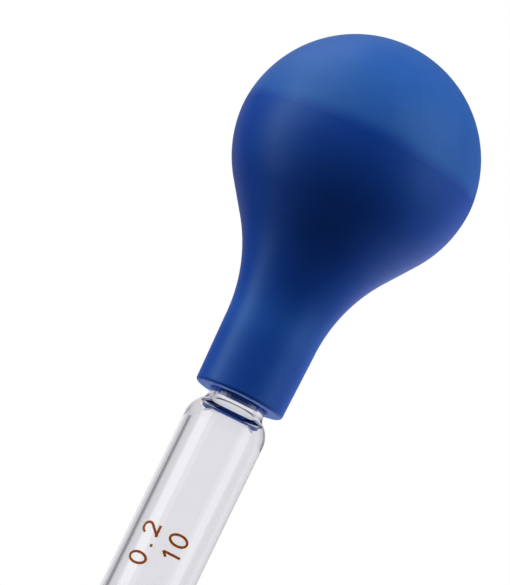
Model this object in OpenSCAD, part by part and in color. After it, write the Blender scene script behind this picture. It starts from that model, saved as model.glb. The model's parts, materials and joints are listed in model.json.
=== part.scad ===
// Rubber pipette bulb on its graduated glass dropper tube.
// Millimetres, +Z up along the common axis, with the origin at the centre of the tip's end.
// The print faces -Y.

/* [Bulb] */
// Outside diameter of the bulb at its parting line
bulb_od = 38.4; // [36:0.1:40]
// Height of the dome above the parting line
dome_rise = 18.6; // [17.4:0.1:19]
// Thickness of the rubber around the ball
ball_wall = 2; // [1.6:0.1:2.6]
// Height of the funnel, from the sleeve up to the parting line
funnel_height = 31; // [29:0.5:33]
// Slope of the funnel's straight stretch, in degrees from the axis
funnel_slope = 35.5; // [33:0.5:38]

/* [Sleeve] */
// Length of the sleeve, from its mouth up to the funnel
sleeve_length = 10.8; // [8:0.1:14]
// Thickness of the sleeve's wall at the mouth
sleeve_wall = 2.55; // [2:0.05:3]
// Extra thickness that the wall gains up to the funnel
sleeve_taper = 0.25; // [0:0.05:0.5]
// Rounding of the mouth's two edges
mouth_round = 0.5; // [0.2:0.1:0.8]
// Radial room between the sleeve and the glass neck
neck_clearance = 0.05; // [0.02:0.01:0.1]

/* [Glass tube] */
// Outside diameter of the barrel
barrel_od = 13; // [12:0.5:14]
// Length of the barrel's straight wall
barrel_length = 134; // [125:1:150]
// Thickness of the barrel's glass
glass_wall = 1.1; // [0.9:0.1:1.3]
// Outside diameter of the neck
neck_od = 9.2; // [8.6:0.1:9.8]
// Thickness of the neck's glass
neck_wall = 1.2; // [1:0.1:1.4]
// Length of neck inside the bulb
neck_grip = 12; // [9:0.5:16]
// Length of straight neck that shows below the sleeve
neck_show = 0.9; // [0.5:0.1:3]
// Radius of the shoulder where the barrel turns in
shoulder_radius = 4.1; // [3.6:0.1:5]
// Radius of the hollow between the shoulder and the neck
shoulder_hollow = 1.5; // [1:0.1:2.5]
// Radius of the same turn inside the glass
inner_shoulder = 3.5; // [3:0.1:4]
// Radius of the same hollow inside the glass
inner_hollow = 2; // [1.5:0.1:2.6]
// Distance by which the glass turns in lower on the inside
inner_drop = 0.7; // [0.3:0.1:1]

/* [Tip] */
// Length of the drawn stem
stem_length = 36; // [28:1:44]
// Outside diameter of the stem at its top
stem_top_od = 5.2; // [4.8:0.1:6]
// Outside diameter of the stem at its end
stem_end_od = 3; // [2.6:0.1:3.6]
// Bore at the stem's end
tip_bore = 1.2; // [0.8:0.1:1.4]
// Radius of the turn from the barrel towards the stem
draw_radius = 9; // [6:0.5:12]
// Radius of the hollow above the stem
draw_hollow = 14; // [10:0.5:20]

/* [Print] */
// Largest marked volume in millilitres
capacity = 10; // [8:1:10]
// Number of divisions in a millilitre
divisions = 5; // [2, 5, 10]
// Thickness of a graduation line
line_width = 0.3; // [0.2:0.05:0.4]
// Angle round the barrel, from the front, at which the lines start
scale_start = -60; // [-80:1:-50]
// Angle round the barrel that a numbered line covers
long_sweep = 120; // [100:5:180]
// Angle round the barrel that a line between numbers covers
short_sweep = 40; // [20:2:44]
// Angle round the barrel, from the front, of the numbers above the lines
number_azimuth = 8; // [5:1:20]
// Height of the numbers above the lines
number_height = 2.4; // [1.8:0.1:3]
// Height of the numbers that run along the barrel
label_height = 2.8; // [2:0.1:3.4]
// Distance from the sleeve's mouth down to the numbers along the barrel
label_drop = 23; // [12:0.5:26]
// Angle round the barrel, from the front, of the number that gives one division
division_azimuth = -30; // [-60:1:-25]
// Angle round the barrel, from the front, of the number that gives the capacity
capacity_azimuth = 11; // [5:1:60]
// Thickness of the strokes of a number
stroke_width = 0.4; // [0.25:0.05:0.5]
// Depth to which the enamel is fired into the glass
print_sink = 0.03; // [0.01:0.01:0.05]
// Height of the enamel above the glass
print_proud = 0.04; // [0.02:0.01:0.08]

/* [Hidden] */
$fn = 96;
RUBBER = [0.13, 0.29, 0.62];
GLASS = [0.86, 0.87, 0.90];
ENAMEL = [0.58, 0.28, 0.07];
// Straight steps that draw one arc of an outline
arc_steps = 24;
// Angle at which the print faces the viewer
front = -90;

ball_r = bulb_od / 2;
dome_r = (ball_r * ball_r + dome_rise * dome_rise) / (2 * dome_rise);
dome_centre = dome_rise - dome_r;
neck_r = neck_od / 2;
bore_r = neck_r + neck_clearance;
mouth_r = bore_r + sleeve_wall;
sleeve_top_r = mouth_r + sleeve_taper;
barrel_r = barrel_od / 2;
inner_r = barrel_r - glass_wall;
neck_inner_r = neck_r - neck_wall;
stem_top_r = stem_top_od / 2;
stem_end_r = stem_end_od / 2;
tip_bore_r = tip_bore / 2;
tip_round = (stem_end_r - tip_bore_r) / 2;
rim_round = neck_wall / 2;

draw_rise = ogee_rise(barrel_r - stem_top_r, draw_radius + draw_hollow);
shoulder_rise = ogee_rise(barrel_r - neck_r, shoulder_radius + shoulder_hollow);
barrel_z = stem_length + draw_rise;
shoulder_z = barrel_z + barrel_length;
mouth_z = shoulder_z + shoulder_rise + neck_show;
neck_top_z = mouth_z + neck_grip;
funnel_z = mouth_z + sleeve_length;
seam_z = funnel_z + funnel_height;

tip_volume = revolved_volume(tip_side(glass_wall, tip_bore_r));
volume_per_mm = PI * inner_r * inner_r;

// Outlines, as lists of [radius, height]

function arc(centre, r, from, to) =
    [for (i = [0:arc_steps])
        let (a = from + (to - from) * i / arc_steps)
        [centre[0] + r * cos(a), centre[1] + r * sin(a)]];

function reversed(points) = [for (i = [len(points) - 1:-1:0]) points[i]];

function lifted(points, z) = [for (p = points) [p[0], p[1] + z]];

function upside_down(points) = [for (p = points) [p[0], -p[1]]];

// An ogee turns inward through a convex arc and back through a hollow one of the same angle.
function ogee_turn(step_in, radii) = acos(1 - step_in / radii);

function ogee_rise(step_in, radii) = radii * sin(ogee_turn(step_in, radii));

function ogee(wide_r, narrow_r, convex, hollow) =
    let (turn = ogee_turn(wide_r - narrow_r, convex + hollow))
    let (rise = ogee_rise(wide_r - narrow_r, convex + hollow))
    concat(
        arc([wide_r - convex, 0], convex, 0, turn),
        arc([narrow_r + hollow, rise], hollow, 180 + turn, 180)
    );

// One side of the tube's wall, inset from the outside, from the stem's end up to the barrel
function tip_side(inset, end_r) =
    let (draw = ogee(barrel_r - inset, stem_top_r - inset, draw_radius - inset, draw_hollow + inset))
    concat([[end_r, tip_round]], lifted(reversed(upside_down(draw)), barrel_z));

// Outside of the tube's wall, from the stem's end up to the neck's rim
tube_outside = concat(
    tip_side(0, stem_end_r),
    lifted(ogee(barrel_r, neck_r, shoulder_radius, shoulder_hollow), shoulder_z),
    [[neck_r, neck_top_z - rim_round]]
);

// Inside of the same wall
tube_inside = concat(
    tip_side(glass_wall, tip_bore_r),
    lifted(ogee(inner_r, neck_inner_r, inner_shoulder, inner_hollow), shoulder_z - inner_drop),
    [[neck_inner_r, neck_top_z - rim_round]]
);

// One side of the funnel's wall: the ball, a straight slope and a hollow that ends upright on the sleeve
function funnel_side(upper_r, lower_r) =
    let (reach = lower_r * cos(funnel_slope) + funnel_height * sin(funnel_slope) - upper_r)
    let (hollow = reach / (1 - cos(funnel_slope)))
    concat(
        arc([0, funnel_height], upper_r, 0, -funnel_slope),
        arc([lower_r + hollow, 0], hollow, 180 - funnel_slope, 180)
    );

// Volume inside an outline turned about the axis
function frustum(a, b) = PI * (b[1] - a[1]) * (a[0] * a[0] + a[0] * b[0] + b[0] * b[0]) / 3;

function total(values, i = 0) = i < len(values) ? values[i] + total(values, i + 1) : 0;

function revolved_volume(points) =
    total([for (i = [1:len(points) - 1]) frustum(points[i - 1], points[i])]);

// Height at which the tube holds a volume in millilitres
function level(volume) = barrel_z + (volume * 1000 - tip_volume) / volume_per_mm;

// Numbers, as strokes in a box one unit tall and digit_box wide

digit_box = 0.6;
digit_pitch = 0.85;
DOT = 10;

function bow(centre, rx, ry, from, to) =
    [for (i = [0:arc_steps / 2])
        let (a = from + (to - from) * i / (arc_steps / 2))
        [centre[0] + rx * cos(a), centre[1] + ry * sin(a)]];

function ring(centre, rx, ry) = [bow(centre, rx, ry, 0, 180), bow(centre, rx, ry, 180, 360)];

function turned(strokes) = [for (s = strokes) [for (p = s) [digit_box - p[0], 1 - p[1]]]];

SIX = concat(ring([0.3, 0.3], 0.3, 0.3), [bow([0.56, 0.34], 0.56, 0.66, 180, 92)]);

DIGITS = [
    ring([0.3, 0.5], 0.3, 0.5),
    [[[0.08, 0.78], [0.34, 1.02]], [[0.32, 1], [0.32, 0]]],
    [concat(bow([0.3, 0.7], 0.3, 0.3, 165, -35), [[0, 0]]), [[-0.05, 0.06], [0.62, 0.06]]],
    [bow([0.28, 0.75], 0.26, 0.25, 150, -90), bow([0.28, 0.26], 0.32, 0.26, 88, -150)],
    [[[0.44, 0], [0.44, 1]], [[0.46, 1], [0, 0.3]], [[-0.04, 0.28], [0.64, 0.28]]],
    [[[0.56, 0.95], [0.06, 0.95]], [[0.1, 1], [0.06, 0.5]], bow([0.27, 0.33], 0.32, 0.33, 140, -145)],
    SIX,
    [[[0, 0.95], [0.62, 0.95]], [[0.58, 1], [0.18, 0]]],
    concat(ring([0.3, 0.76], 0.25, 0.24), ring([0.3, 0.26], 0.3, 0.26)),
    turned(SIX),
    [[[0.22, 0.07], [0.38, 0.07]]]
];

// Digits of a whole number up to ten
function digits_of(value) = value < 10 ? [value] : [1, 0];

// Unit vector square to the run of a stroke at one of its points
function across(points, i) =
    let (a = points[max(i - 1, 0)])
    let (b = points[min(i + 1, len(points) - 1)])
    let (run = b - a)
    [-run[1], run[0]] / norm(run);

function stroke_edge(points, offset) =
    [for (i = [0:len(points) - 1]) points[i] + offset * across(points, i)];

module digit(d, height) {
    half = stroke_width / 2;
    for (s = DIGITS[d]) {
        path = s * height;
        polygon(concat(stroke_edge(path, half), reversed(stroke_edge(path, -half))));
    }
}

function number_width(digits, height) = ((len(digits) - 1) * digit_pitch + digit_box) * height;

module number(digits, height) {
    start = -number_width(digits, height) / 2;
    for (i = [0:len(digits) - 1]) {
        translate([start + i * digit_pitch * height, 0]) digit(digits[i], height);
    }
}

// Thin shell of enamel at the barrel's surface
module enamel_shell() {
    difference() {
        translate([0, 0, barrel_z]) cylinder(r = barrel_r + print_proud, h = barrel_length);
        cylinder(r = barrel_r - print_sink, h = seam_z);
    }
}

// Throws a flat shape from the axis out through the barrel's wall, upright and readable from outside
module thrown(azimuth, z) {
    rotate([0, 0, azimuth]) {
        translate([0, 0, z]) rotate([90, 0, 0]) linear_extrude(barrel_od) children();
    }
}

// A number that reads up the barrel and ends at the label's height
module label(digits, azimuth) {
    middle = mouth_z - label_drop - number_width(digits, label_height) / 2;
    thrown(azimuth, middle) rotate(90) translate([0, -label_height / 2]) number(digits, label_height);
}

module scale_line(z, sweep) {
    translate([0, 0, z]) rotate([0, 0, front + scale_start]) rotate_extrude(angle = sweep) {
        translate([barrel_r - print_sink, -line_width / 2]) square([print_sink + print_proud, line_width]);
    }
}

// Sub-parts

module glass_tube() {
    color(GLASS) rotate_extrude() {
        polygon(concat(
            tube_outside,
            arc([neck_r - rim_round, neck_top_z - rim_round], rim_round, 0, 180),
            reversed(tube_inside),
            arc([tip_bore_r + tip_round, tip_round], tip_round, 180, 360)
        ));
    }
}

module scale_lines() {
    color(ENAMEL) for (i = [divisions:capacity * divisions]) {
        scale_line(level(i / divisions), i % divisions == 0 ? long_sweep : short_sweep);
    }
}

module scale_numbers() {
    color(ENAMEL) intersection() {
        enamel_shell();
        union() {
            for (v = [1:capacity]) {
                thrown(number_azimuth, level(v) + line_width) number(digits_of(v), number_height);
            }
            label([0, DOT, 10 / divisions], division_azimuth);
            label(digits_of(capacity), capacity_azimuth);
        }
    }
}

module bulb_sleeve() {
    color(RUBBER) translate([0, 0, mouth_z]) rotate_extrude() {
        polygon(concat(
            [[sleeve_top_r, sleeve_length]],
            arc([mouth_r - mouth_round, mouth_round], mouth_round, 0, -90),
            arc([bore_r + mouth_round, mouth_round], mouth_round, 270, 180),
            [[bore_r, sleeve_length]]
        ));
    }
}

module bulb_funnel() {
    color(RUBBER) translate([0, 0, funnel_z]) rotate_extrude() {
        polygon(concat(
            funnel_side(ball_r, sleeve_top_r),
            reversed(funnel_side(ball_r - ball_wall, bore_r))
        ));
    }
}

module bulb_dome() {
    color(RUBBER) translate([0, 0, seam_z]) rotate_extrude() intersection() {
        translate([0, dome_centre]) difference() {
            circle(dome_r);
            circle(dome_r - ball_wall);
        }
        square([bulb_od, bulb_od]);
    }
}

glass_tube();
scale_lines();
scale_numbers();
bulb_sleeve();
bulb_funnel();
bulb_dome();
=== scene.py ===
"""Looks of the rubber pipette bulb on its graduated glass tube, in metres, in the row frame."""

import json
import math

import bpy
from mathutils import Matrix, Vector


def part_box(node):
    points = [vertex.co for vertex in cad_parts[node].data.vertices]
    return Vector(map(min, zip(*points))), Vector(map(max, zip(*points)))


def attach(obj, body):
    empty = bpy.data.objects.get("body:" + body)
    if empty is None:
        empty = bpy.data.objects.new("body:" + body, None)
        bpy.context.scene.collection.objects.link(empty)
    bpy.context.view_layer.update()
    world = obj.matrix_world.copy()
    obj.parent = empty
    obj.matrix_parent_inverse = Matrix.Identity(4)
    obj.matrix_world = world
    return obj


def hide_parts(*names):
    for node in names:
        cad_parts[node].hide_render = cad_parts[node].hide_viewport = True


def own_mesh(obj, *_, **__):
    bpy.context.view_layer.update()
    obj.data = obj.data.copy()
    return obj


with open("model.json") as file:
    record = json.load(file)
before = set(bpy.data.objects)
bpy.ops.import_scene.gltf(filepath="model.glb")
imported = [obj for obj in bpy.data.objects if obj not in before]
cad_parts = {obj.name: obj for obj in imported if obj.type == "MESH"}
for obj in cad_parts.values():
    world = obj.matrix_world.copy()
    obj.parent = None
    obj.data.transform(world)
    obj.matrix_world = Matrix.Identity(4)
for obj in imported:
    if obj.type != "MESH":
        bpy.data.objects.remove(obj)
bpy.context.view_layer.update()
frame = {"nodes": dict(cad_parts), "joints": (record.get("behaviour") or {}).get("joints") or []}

MM = 0.001

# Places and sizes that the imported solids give
DOME_LOW, DOME_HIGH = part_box("bulb_dome")
FUNNEL_LOW, FUNNEL_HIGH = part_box("bulb_funnel")
SLEEVE_LOW, SLEEVE_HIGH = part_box("bulb_sleeve")
TUBE_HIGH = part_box("glass_tube")[1]
SEAM_Z = DOME_LOW.z
CROWN_Z = DOME_HIGH.z
FUNNEL_Z = FUNNEL_LOW.z
MOUTH_Z = SLEEVE_LOW.z
RIM_Z = TUBE_HIGH.z
BALL_R = FUNNEL_HIGH.x
SLEEVE_TOP_R = SLEEVE_HIGH.x
BARREL_R = TUBE_HIGH.x
FUNNEL_HEIGHT = SEAM_Z - FUNNEL_Z
DOME_RISE = CROWN_Z - SEAM_Z

# Rubber
BALL_WALL = 2 * MM
FUNNEL_SLOPE = math.radians(35.5)
BORE_R = 4.65 * MM
MOUTH_R = 7.2 * MM
MOUTH_ROUND = 0.5 * MM
SEAM_ROUND = 0.03 * MM

# Colour of the rubber: where the paler mix begins, how far its edge wanders and blends, how far the
# painted fill light that pales the lower mix reaches below and above the neck's rim, and how much it
# pales over the neck and at the rim
PALER_Z = SEAM_Z + 0.5 * MM
PALER_WANDER = 1 * MM
PALER_BLEND = 2.4 * MM
PAINTED_LIGHT_BELOW_RIM = 5 * MM
PAINTED_LIGHT_ABOVE_RIM = 7 * MM
NECK_PAINTED_LIGHT = 0.30
RIM_PAINTED_LIGHT = 0.40

# Glass
GLASS_WALL = 1.1 * MM
NECK_R = 4.6 * MM
NECK_WALL = 1.2 * MM
NECK_SHOW = 0.9 * MM
SHOULDER_RADIUS = 4.1 * MM
SHOULDER_HOLLOW = 1.5 * MM
INNER_SHOULDER = 3.5 * MM
INNER_HOLLOW = 2 * MM
INNER_DROP = 0.7 * MM
STEM_LENGTH = 36 * MM
STEM_TOP_R = 2.6 * MM
STEM_END_R = 1.5 * MM
TIP_BORE_R = 0.6 * MM
DRAW_RADIUS = 9 * MM
DRAW_HOLLOW = 14 * MM

# Depth of the unevenness on every skin
SKIN_DEPTH = 0.02 * MM

# Smoothness of the turned pieces
ARC_STEP = math.radians(1.5)
ROUND_STEPS = 192
SHARP_EDGE = math.radians(35)
SAME_POINT = 1e-7


class Wire:
    """An output socket. Arithmetic on it adds Math nodes."""

    def __init__(self, finish, socket):
        self.finish = finish
        self.socket = socket

    def math(self, operation, first, second):
        settings = {"operation": operation}
        return self.finish.node("ShaderNodeMath", settings, {0: first, 1: second})

    def __add__(self, other):
        return self.math("ADD", self, other)

    def __sub__(self, other):
        return self.math("SUBTRACT", self, other)

    def __rsub__(self, other):
        return self.math("SUBTRACT", other, self)

    def __mul__(self, other):
        return self.math("MULTIPLY", self, other)

    __radd__ = __add__
    __rmul__ = __mul__


class Finish:
    """The node tree of one material or of the world."""

    def __init__(self, owner):
        owner.use_nodes = True
        self.owner = owner
        self.tree = owner.node_tree
        self.tree.nodes.clear()

    def node(self, kind, settings=None, inputs=None, output=0):
        made = self.tree.nodes.new(kind)
        for name, value in (settings or {}).items():
            if name == "stops":
                self.set_stops(made.color_ramp, value)
            else:
                setattr(made, name, value)
        for name, value in (inputs or {}).items():
            socket = made.inputs[name]
            if isinstance(value, Wire):
                self.tree.links.new(value.socket, socket)
            else:
                socket.default_value = value
        return Wire(self, made.outputs[output]) if len(made.outputs) else None

    @staticmethod
    def set_stops(ramp, stops):
        while len(ramp.elements) < len(stops):
            ramp.elements.new(1.0)
        for element, (position, colour) in zip(ramp.elements, stops):
            element.position = position
            element.color = colour

    def place(self):
        return self.node("ShaderNodeTexCoord", output="Object")

    def noise(self, place, size, detail, stretch=(1, 1, 1)):
        """Noise from 0 to 1 whose patches are about size across."""
        scaled = self.node("ShaderNodeMapping", None, {"Vector": place, "Scale": stretch})
        inputs = {"Vector": scaled, "Scale": 1 / size, "Detail": detail}
        return self.node("ShaderNodeTexNoise", None, inputs)

    def ramp(self, value, stops):
        return self.node("ShaderNodeValToRGB", {"stops": stops}, {"Fac": value})

    def colour_mix(self, factor, first, second):
        settings = {"data_type": "RGBA"}
        inputs = {0: factor, 6: first, 7: second}
        return self.node("ShaderNodeMix", settings, inputs, output=2)

    def towards(self, direction, centre):
        """Cosine of the angle between two directions."""
        settings = {"operation": "DOT_PRODUCT"}
        return self.node("ShaderNodeVectorMath", settings, {0: direction, 1: centre}, output="Value")

    def smooth_step(self, value, low, high):
        """0 below low, 1 above high and smooth between them."""
        inputs = {"Value": value, "From Min": low, "From Max": high}
        return self.node("ShaderNodeMapRange", {"interpolation_type": "SMOOTHSTEP"}, inputs)

    def bump(self, height, strength):
        inputs = {"Height": height, "Strength": strength, "Distance": SKIN_DEPTH}
        return self.node("ShaderNodeBump", None, inputs)

    def surface(self, shader, body=None):
        """Joins the shader, and what fills a clear body, to the output."""
        is_world = isinstance(self.owner, bpy.types.World)
        output = "ShaderNodeOutputWorld" if is_world else "ShaderNodeOutputMaterial"
        inputs = {"Surface": shader}
        if body:
            inputs["Volume"] = body
        self.node(output, None, inputs)
        return self.owner


def new_finish(name):
    return Finish(bpy.data.materials.new(name))


def rgba(r, g, b):
    return (r, g, b, 1.0)


# Finishes

def satin_rubber():
    """Blue rubber in two mixes, the paler one above the seam. Over the neck the lower one is paled by
    painted fill light.
    """
    finish = new_finish("satin_blue_rubber")
    place = finish.place()
    clouds = finish.noise(place, size=14 * MM, detail=3.0)
    bloom = finish.noise(place, size=3 * MM, detail=4.0)
    grain = finish.noise(place, size=0.35 * MM, detail=2.0)
    height = finish.node("ShaderNodeSeparateXYZ", None, {0: place}, output="Z")
    wandering = height + clouds * PALER_WANDER
    above_seam = finish.smooth_step(wandering, PALER_Z, PALER_Z + PALER_BLEND)
    tone = clouds * 0.6 + bloom * 0.4
    lower = finish.ramp(tone, [
        (0.30, rgba(0.0090, 0.0593, 0.373)),
        (0.50, rgba(0.0100, 0.0645, 0.398)),
        (0.72, rgba(0.0117, 0.0700, 0.427)),
    ])
    upper = finish.ramp(tone, [
        (0.30, rgba(0.0223, 0.1115, 0.435)),
        (0.50, rgba(0.0249, 0.1203, 0.460)),
        (0.72, rgba(0.0280, 0.1300, 0.490)),
    ])
    # Painted light: the lower mix is paled over the neck, most near the neck's rim, in place of fill
    # light from below.
    above_rim = finish.smooth_step(height, RIM_Z, RIM_Z + PAINTED_LIGHT_ABOVE_RIM)
    near_rim = finish.smooth_step(height, RIM_Z - PAINTED_LIGHT_BELOW_RIM, RIM_Z)
    painted_fill_light = (1 - above_rim) * (NECK_PAINTED_LIGHT + near_rim * RIM_PAINTED_LIGHT)
    lower = finish.colour_mix(painted_fill_light, lower, rgba(0.0185, 0.1060, 0.485))
    return finish.surface(finish.node("ShaderNodeBsdfPrincipled", None, {
        "Base Color": finish.colour_mix(above_seam, lower, upper),
        "Roughness": 0.34 + clouds * 0.08 + bloom * 0.06,
        "Normal": finish.bump(grain * 0.7 + bloom * 0.3, strength=0.25),
        "IOR": 1.5,
        "Specular IOR Level": 0.42,
        "Specular Tint": rgba(0.47, 0.92, 1.0),
    }))


def clear_glass():
    """Glass that greys light a little at its skin and along the way through its wall."""
    finish = new_finish("clear_drawn_glass")
    place = finish.place()
    draw_lines = finish.noise(place, size=0.8 * MM, detail=2.0, stretch=(1, 1, 0.01))
    ripples = finish.noise(place, size=9 * MM, detail=2.0, stretch=(1, 1, 0.2))
    skin = finish.node("ShaderNodeBsdfPrincipled", None, {
        "Base Color": rgba(0.935, 0.932, 0.946),
        "Roughness": 0.0,
        "Normal": finish.bump(draw_lines * 0.3 + ripples * 0.7, strength=0.2),
        "Transmission Weight": 1.0,
        "IOR": 1.47,
    })
    wall = finish.node("ShaderNodeVolumeAbsorption", None, {
        "Color": rgba(0.36, 0.34, 0.45),
        "Density": 90.0,
    })
    return finish.surface(skin, wall)


def fired_enamel():
    finish = new_finish("fired_brown_enamel")
    place = finish.place()
    density = finish.noise(place, size=0.5 * MM, detail=3.0)
    colour = finish.ramp(density, [
        (0.30, rgba(0.42, 0.085, 0.0045)),
        (0.55, rgba(0.58, 0.135, 0.007)),
        (0.80, rgba(0.70, 0.200, 0.018)),
    ])
    return finish.surface(finish.node("ShaderNodeBsdfPrincipled", None, {
        "Base Color": colour,
        "Roughness": 0.32 + density * 0.2,
        "Normal": finish.bump(density, strength=0.3),
    }))


def pale_floor():
    """A pale floor that fades out into the white around it."""
    finish = new_finish("pale_floor")
    place = finish.place()
    specks = finish.noise(place, size=2 * MM, detail=3.0)
    colour = finish.ramp(specks, [
        (0.3, rgba(0.78, 0.78, 0.78)),
        (0.7, rgba(0.82, 0.82, 0.82)),
    ])
    settings = {"operation": "LENGTH"}
    reach = finish.node("ShaderNodeVectorMath", settings, {0: place}, output="Value")
    return finish.surface(finish.node("ShaderNodeBsdfPrincipled", None, {
        "Base Color": colour,
        "Roughness": 0.7,
        "Alpha": 1 - finish.smooth_step(reach, FLOOR_FADE, FLOOR_REACH),
    }))


# Turned meshes

def arc(centre, radius, start, end):
    """Points (radius, height) along a round stretch of an outline, with angles in radians."""
    steps = max(2, math.ceil(abs(end - start) / ARC_STEP))
    angles = [start + (end - start) * i / steps for i in range(steps + 1)]
    return [(centre[0] + radius * math.cos(a), centre[1] + radius * math.sin(a)) for a in angles]


def swept_area(points):
    """Area of an outline, above zero where its outer side is written upwards."""
    pairs = zip(points, points[1:] + points[:1])
    return sum(p[0] * q[1] - q[0] * p[1] for p, q in pairs) / 2


def turned(name, outline, finish):
    """A closed outline of (radius, height) points, turned about the axis."""
    pairs = zip(outline, outline[1:] + outline[:1])
    points = [p for p, q in pairs if math.dist(p, q) > SAME_POINT]
    if swept_area(points) > 0:
        points.reverse()
    vertices = []
    rings = []
    for radius, height in points:
        count = 1 if radius < SAME_POINT else ROUND_STEPS
        first = len(vertices)
        for i in range(count):
            turn = 2 * math.pi * i / ROUND_STEPS
            vertices.append((radius * math.cos(turn), radius * math.sin(turn), height))
        rings.append([first + i % count for i in range(ROUND_STEPS)])
    faces = []
    for ring, after in zip(rings, rings[1:] + rings[:1]):
        for i in range(ROUND_STEPS):
            j = (i + 1) % ROUND_STEPS
            corners = list(dict.fromkeys((ring[i], after[i], after[j], ring[j])))
            if len(corners) > 2:
                faces.append(corners)
    mesh = bpy.data.meshes.new(name)
    mesh.from_pydata(vertices, [], faces)
    mesh.shade_smooth()
    mesh.set_sharp_from_angle(angle=SHARP_EDGE)
    mesh.materials.append(finish)
    piece = bpy.data.objects.new(name, mesh)
    bpy.context.scene.collection.objects.link(piece)
    return piece


def ogee_turn(step_in, radii):
    return math.acos(1 - step_in / radii)


def ogee_rise(step_in, radii):
    return radii * math.sin(ogee_turn(step_in, radii))


def ogee(wide_r, narrow_r, convex, hollow, base_z, way=1):
    """An inward turn through a convex arc and back through a hollow one.

    way 1 climbs from base_z and -1 goes down.
    """
    turn = ogee_turn(wide_r - narrow_r, convex + hollow)
    rise = ogee_rise(wide_r - narrow_r, convex + hollow)
    points = arc((wide_r - convex, 0), convex, 0, turn)
    points += arc((narrow_r + hollow, rise), hollow, math.pi + turn, math.pi)
    return [(r, base_z + way * z) for r, z in points]


# Sub-parts

def dome(finish):
    outer_r = (BALL_R ** 2 + DOME_RISE ** 2) / (2 * DOME_RISE)
    centre = (0, CROWN_Z - outer_r)
    inner_r = outer_r - BALL_WALL
    low = SEAM_Z - centre[1]
    edge = math.asin(low / outer_r)
    inner_edge = math.asin(low / inner_r)
    outline = arc(centre, outer_r, math.pi / 2, edge + SEAM_ROUND / outer_r)
    outline += arc((BALL_R - SEAM_ROUND, SEAM_Z + SEAM_ROUND), SEAM_ROUND, 0, -math.pi / 2)
    outline += arc(centre, inner_r, inner_edge, math.pi / 2)
    return turned("rubber_dome", outline, finish)


def funnel_side(upper_r, lower_r):
    """One side of the funnel's wall: the ball, a straight slope and a hollow upright on the sleeve."""
    reach = lower_r * math.cos(FUNNEL_SLOPE) + FUNNEL_HEIGHT * math.sin(FUNNEL_SLOPE) - upper_r
    hollow = reach / (1 - math.cos(FUNNEL_SLOPE))
    points = arc((0, SEAM_Z), upper_r, 0, -FUNNEL_SLOPE)
    points += arc((lower_r + hollow, FUNNEL_Z), hollow, math.pi - FUNNEL_SLOPE, math.pi)
    return points


def funnel(finish):
    outer = [p for p in funnel_side(BALL_R, SLEEVE_TOP_R) if p[1] < SEAM_Z - SEAM_ROUND]
    inner = funnel_side(BALL_R - BALL_WALL, BORE_R)
    outline = arc((BALL_R - SEAM_ROUND, SEAM_Z - SEAM_ROUND), SEAM_ROUND, math.pi / 2, 0)
    outline += outer + inner[::-1]
    return turned("rubber_funnel", outline, finish)


def sleeve(finish):
    round_z = MOUTH_Z + MOUTH_ROUND
    outline = [(SLEEVE_TOP_R, FUNNEL_Z)]
    outline += arc((MOUTH_R - MOUTH_ROUND, round_z), MOUTH_ROUND, 0, -math.pi / 2)
    outline += arc((BORE_R + MOUTH_ROUND, round_z), MOUTH_ROUND, 1.5 * math.pi, math.pi)
    outline += [(BORE_R, FUNNEL_Z)]
    return turned("rubber_sleeve", outline, finish)


def tube(finish):
    shoulder_rise = ogee_rise(BARREL_R - NECK_R, SHOULDER_RADIUS + SHOULDER_HOLLOW)
    shoulder_z = MOUTH_Z - NECK_SHOW - shoulder_rise
    barrel_z = STEM_LENGTH + ogee_rise(BARREL_R - STEM_TOP_R, DRAW_RADIUS + DRAW_HOLLOW)
    tip_round = (STEM_END_R - TIP_BORE_R) / 2
    rim_round = NECK_WALL / 2
    rim_z = RIM_Z - rim_round
    inner_r = BARREL_R - GLASS_WALL
    neck_inner_r = NECK_R - NECK_WALL

    def tip_side(inset, end_r):
        wide_r, narrow_r = BARREL_R - inset, STEM_TOP_R - inset
        draw = ogee(wide_r, narrow_r, DRAW_RADIUS - inset, DRAW_HOLLOW + inset, barrel_z, way=-1)
        return [(end_r, tip_round)] + draw[::-1]

    outside = tip_side(0, STEM_END_R)
    outside += ogee(BARREL_R, NECK_R, SHOULDER_RADIUS, SHOULDER_HOLLOW, shoulder_z)
    outside += [(NECK_R, rim_z)]
    inside = tip_side(GLASS_WALL, TIP_BORE_R)
    inside += ogee(inner_r, neck_inner_r, INNER_SHOULDER, INNER_HOLLOW, shoulder_z - INNER_DROP)
    inside += [(neck_inner_r, rim_z)]
    outline = outside + arc((NECK_R - rim_round, rim_z), rim_round, 0, math.pi)
    outline += inside[::-1]
    outline += arc((TIP_BORE_R + tip_round, tip_round), tip_round, math.pi, 2 * math.pi)
    return turned("drawn_glass_tube", outline, finish)


def dress():
    rubber = satin_rubber()
    glass = clear_glass()
    enamel = fired_enamel()
    for piece, node, body, slot in (
        (dome(rubber), "bulb_dome", "dome", "rubber"),
        (funnel(rubber), "bulb_funnel", "bulb", "rubber"),
        (sleeve(rubber), "bulb_sleeve", "bulb", "rubber"),
        (tube(glass), "glass_tube", "tube", "glass"),
    ):
        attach(piece, body)
        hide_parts(node)
    bpy.data.objects["drawn_glass_tube"].visible_shadow = False
    squeeze = next(j for j in frame["joints"] if j["name"] == "bulb_squeeze")
    travel = max(squeeze["range_m"])
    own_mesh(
        bpy.data.objects["rubber_funnel"],
        "bulb_squeeze",
        axis=(0, 0, 1),
        anchor=(0, 0, FUNNEL_Z),
        keep=1 - travel / FUNNEL_HEIGHT,
    )
    for node in ("scale_lines", "scale_numbers"):
        slots = frame["nodes"][node].data.materials
        slots.clear()
        slots.append(enamel)


# Studio

CAMERA_DISTANCE = 0.600
CAMERA_DROP = 0.0817
CAMERA_YAW = math.radians(-0.465)
CAMERA_PITCH = math.radians(9.238)
CAMERA_ROLL = math.radians(26.063)
FOCAL_PIXELS = 4001.8
IMAGE_HEIGHT = 585

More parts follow.
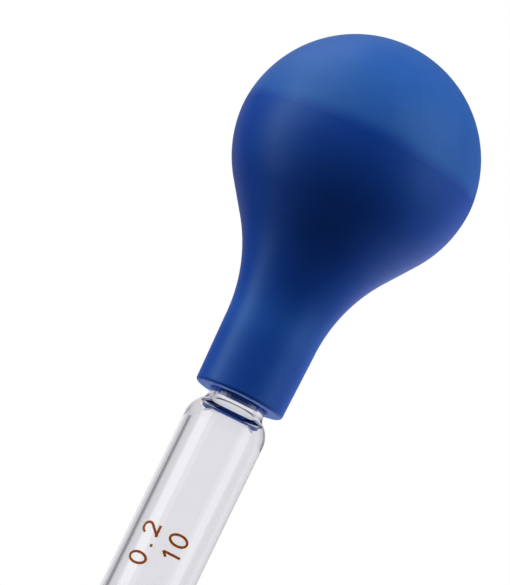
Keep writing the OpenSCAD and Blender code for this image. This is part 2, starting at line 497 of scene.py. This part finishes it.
LAMP_DISTANCE = 1.0
RUBBER_PIECES = ("rubber_dome", "rubber_funnel", "rubber_sleeve")
SLEEVE_PIECES = ("rubber_sleeve",)
GLASS_PIECES = ("drawn_glass_tube",)
GLOW_WATTS = 0.005
GLOW_RADIUS = 4 * MM

FLOOR_REACH = 0.7
FLOOR_FADE = 0.15

# Light that runs along inside the glass wall goes out after too few bounces
GLASS_BOUNCES = 12

# Patches of the surroundings: the middle of each as a direction, and how near a direction has to be to
# it, as a cosine, for the patch to begin and to be full
FLAG_MIDDLE = (-0.731, 0.682, 0.0)
FLAG_EDGE = math.cos(math.radians(12.5))
FLAG_BLUR = 0.006
FLAG = (FLAG_MIDDLE, FLAG_EDGE - FLAG_BLUR, FLAG_EDGE + FLAG_BLUR)
FLAG_SKIRT = (FLAG_MIDDLE, 0.72, 0.98)
SCREEN = ((0.5, 0.866, 0.0), 0.28, 0.40)
SCREEN_SHADE = ((0.45, 0.70, 0.55), 0.80, 0.97)
LEFT_SIDE = ((-1.0, 0.0, 0.0), 0.0, 0.3)
TABLE = ((0.12, 0.952, -0.281), 0.87, 0.95)

# Brightness of the patches, where 1 is white, and how much the shades take away
ROOM_LEVEL = 0.015
SCREEN_LEVEL = 0.28
SCREEN_SHADE_DEPTH = 0.18
SCREEN_IN_GLASS = 0.18
LEFT_IN_GLASS = 0.5
TABLE_LEVEL = 0.30
FLAG_DEPTH = 0.47
FLAG_SKIRT_DEPTH = 0.17


def camera():
    data = bpy.data.cameras.new("photo_camera")
    data.sensor_fit = "VERTICAL"
    data.angle_y = 2 * math.atan(IMAGE_HEIGHT / 2 / FOCAL_PIXELS)
    data.clip_start = 0.01
    forward = Vector((
        math.sin(CAMERA_YAW) * math.cos(CAMERA_PITCH),
        math.cos(CAMERA_YAW) * math.cos(CAMERA_PITCH),
        math.sin(CAMERA_PITCH),
    ))
    level_right = Vector((math.cos(CAMERA_YAW), -math.sin(CAMERA_YAW), 0))
    level_up = level_right.cross(forward)
    right = math.cos(CAMERA_ROLL) * level_right + math.sin(CAMERA_ROLL) * level_up
    up = right.cross(forward)
    turn = Matrix((right, up, -forward)).transposed()
    place = Matrix.Translation((0, -CAMERA_DISTANCE, MOUTH_Z - CAMERA_DROP))
    stand = bpy.data.objects.new("photo_camera", data)
    stand.matrix_world = place @ turn.to_4x4()
    bpy.context.scene.collection.objects.link(stand)
    bpy.context.scene.camera = stand


def hang(lamp, mirrored):
    """Puts a lamp in the scene. Only a mirrored one shows in gloss, and none shows through glass."""
    lamp.visible_glossy = mirrored
    lamp.visible_transmission = False
    bpy.context.scene.collection.objects.link(lamp)


def softbox(name, azimuth, elevation, size, level, mirrored=True, only=()):
    """A lamp that looks at the bulb, and lights only some pieces where they are given.

    Azimuth 0 is the camera's side and 90 is its right. Level 1 is white.
    """
    data = bpy.data.lights.new(name, "AREA")
    data.shape = "RECTANGLE"
    data.size, data.size_y = size
    data.energy = math.pi * size[0] * size[1] * level
    lamp = bpy.data.objects.new(name, data)
    turn, tilt = math.radians(azimuth), math.radians(elevation)
    away = Vector((math.sin(turn) * math.cos(tilt), -math.cos(turn) * math.cos(tilt), math.sin(tilt)))
    lamp.location = Vector((0, 0, SEAM_Z)) + away * LAMP_DISTANCE
    lamp.rotation_euler = away.to_track_quat("Z", "Y").to_euler()
    if only:
        lit = bpy.data.collections.new("lit_by_" + name)
        for piece in only:
            lit.objects.link(bpy.data.objects[piece])
        lamp.light_linking.receiver_collection = lit
    hang(lamp, mirrored)


def lights():
    softbox("left_softbox", -72, 36, (1.0, 0.9), 2.6, mirrored=False)
    softbox("left_high", -112, 48, (0.8, 0.7), 0.8)
    softbox("left_strip", -85, 5, (0.30, 0.7), 2.6, only=RUBBER_PIECES)
    softbox("left_panel", -68, 8, (0.34, 0.5), 1.15, only=RUBBER_PIECES)
    softbox("left_streak", -65, 0, (0.56, 1.2), 2.8, only=GLASS_PIECES)
    softbox("left_glow", -54, 0, (0.75, 1.2), 1.1, only=GLASS_PIECES)
    softbox("left_low", -82, -25, (0.4, 0.5), 1.1)
    softbox("right_softbox", 58, 42, (0.9, 0.7), 3.7, mirrored=False)
    softbox("right_panel", 68, 6, (0.8, 0.5), 0.5, only=RUBBER_PIECES)
    softbox("right_strip", 66, 6, (0.4, 0.5), 0.75, only=RUBBER_PIECES)
    softbox("right_streak", 65, 0, (0.40, 1.2), 1.5, only=GLASS_PIECES)
    softbox("right_glow", 61, 0, (0.66, 1.2), 1.2, only=GLASS_PIECES)
    softbox("right_edge", 104, 5, (0.5, 0.8), 1.0, mirrored=False)
    softbox("overhead", -60, 78, (0.9, 0.9), 0.4, mirrored=False)
    softbox("back_right", 148, -14, (0.7, 1.0), 4.6, mirrored=False)
    softbox("back_low", 165, -50, (1.2, 0.9), 1.3, mirrored=False)
    softbox("under_sleeve", 165, -50, (1.2, 0.9), 2.7, mirrored=False, only=SLEEVE_PIECES)


def wall_glow():
    """The faint light that a thin rubber wall lets into the bulb."""
    data = bpy.data.lights.new("wall_glow", "POINT")
    data.energy = GLOW_WATTS
    data.shadow_soft_size = GLOW_RADIUS
    lamp = bpy.data.objects.new("wall_glow", data)
    lamp.location = (0, 0, SEAM_Z)
    lamp.visible_camera = False
    hang(lamp, mirrored=False)


def floor():
    mesh = bpy.data.meshes.new("floor")
    half = FLOOR_REACH
    corners = [(-half, -half, 0), (half, -half, 0), (half, half, 0), (-half, half, 0)]
    mesh.from_pydata(corners, [], [(0, 1, 2, 3)])
    mesh.materials.append(pale_floor())
    ground = bpy.data.objects.new("floor", mesh)
    ground.visible_diffuse = False
    ground.visible_glossy = False
    ground.visible_shadow = False
    bpy.context.scene.collection.objects.link(ground)


def backdrop():
    """White behind the part and seen through its glass, with patches that gloss and glass show."""
    world = bpy.data.worlds.new("studio")
    bpy.context.scene.world = world
    finish = Finish(world)
    camera_ray = finish.node("ShaderNodeLightPath", output="Is Camera Ray")
    through = finish.node("ShaderNodeLightPath", output="Is Transmission Ray")
    glossy = finish.node("ShaderNodeLightPath", output="Is Glossy Ray")
    sharp = finish.node("ShaderNodeLightPath", output="Is Singular Ray")
    direction = finish.node("ShaderNodeTexCoord", output="Generated")

    def patch(middle, begin, full):
        return finish.smooth_step(finish.towards(direction, middle), begin, full)

    in_glass = sharp * (SCREEN_IN_GLASS + patch(*LEFT_SIDE) * LEFT_IN_GLASS)
    screen = SCREEN_LEVEL - patch(*SCREEN_SHADE) * SCREEN_SHADE_DEPTH + in_glass
    in_gloss = patch(*SCREEN) * screen + patch(*TABLE) * TABLE_LEVEL
    unlit = ROOM_LEVEL + glossy * in_gloss
    behind_glass = 1 - patch(*FLAG) * FLAG_DEPTH - patch(*FLAG_SKIRT) * FLAG_SKIRT_DEPTH
    around = through * behind_glass + (1 - through) * unlit
    strength = camera_ray + (1 - camera_ray) * around
    inputs = {"Color": rgba(1, 1, 1), "Strength": strength}
    finish.surface(finish.node("ShaderNodeBackground", None, inputs))


dress()
camera()
lights()
wall_glow()
floor()
backdrop()
bpy.context.scene.view_settings.view_transform = "Standard"
bpy.context.scene.cycles.glossy_bounces = GLASS_BOUNCES
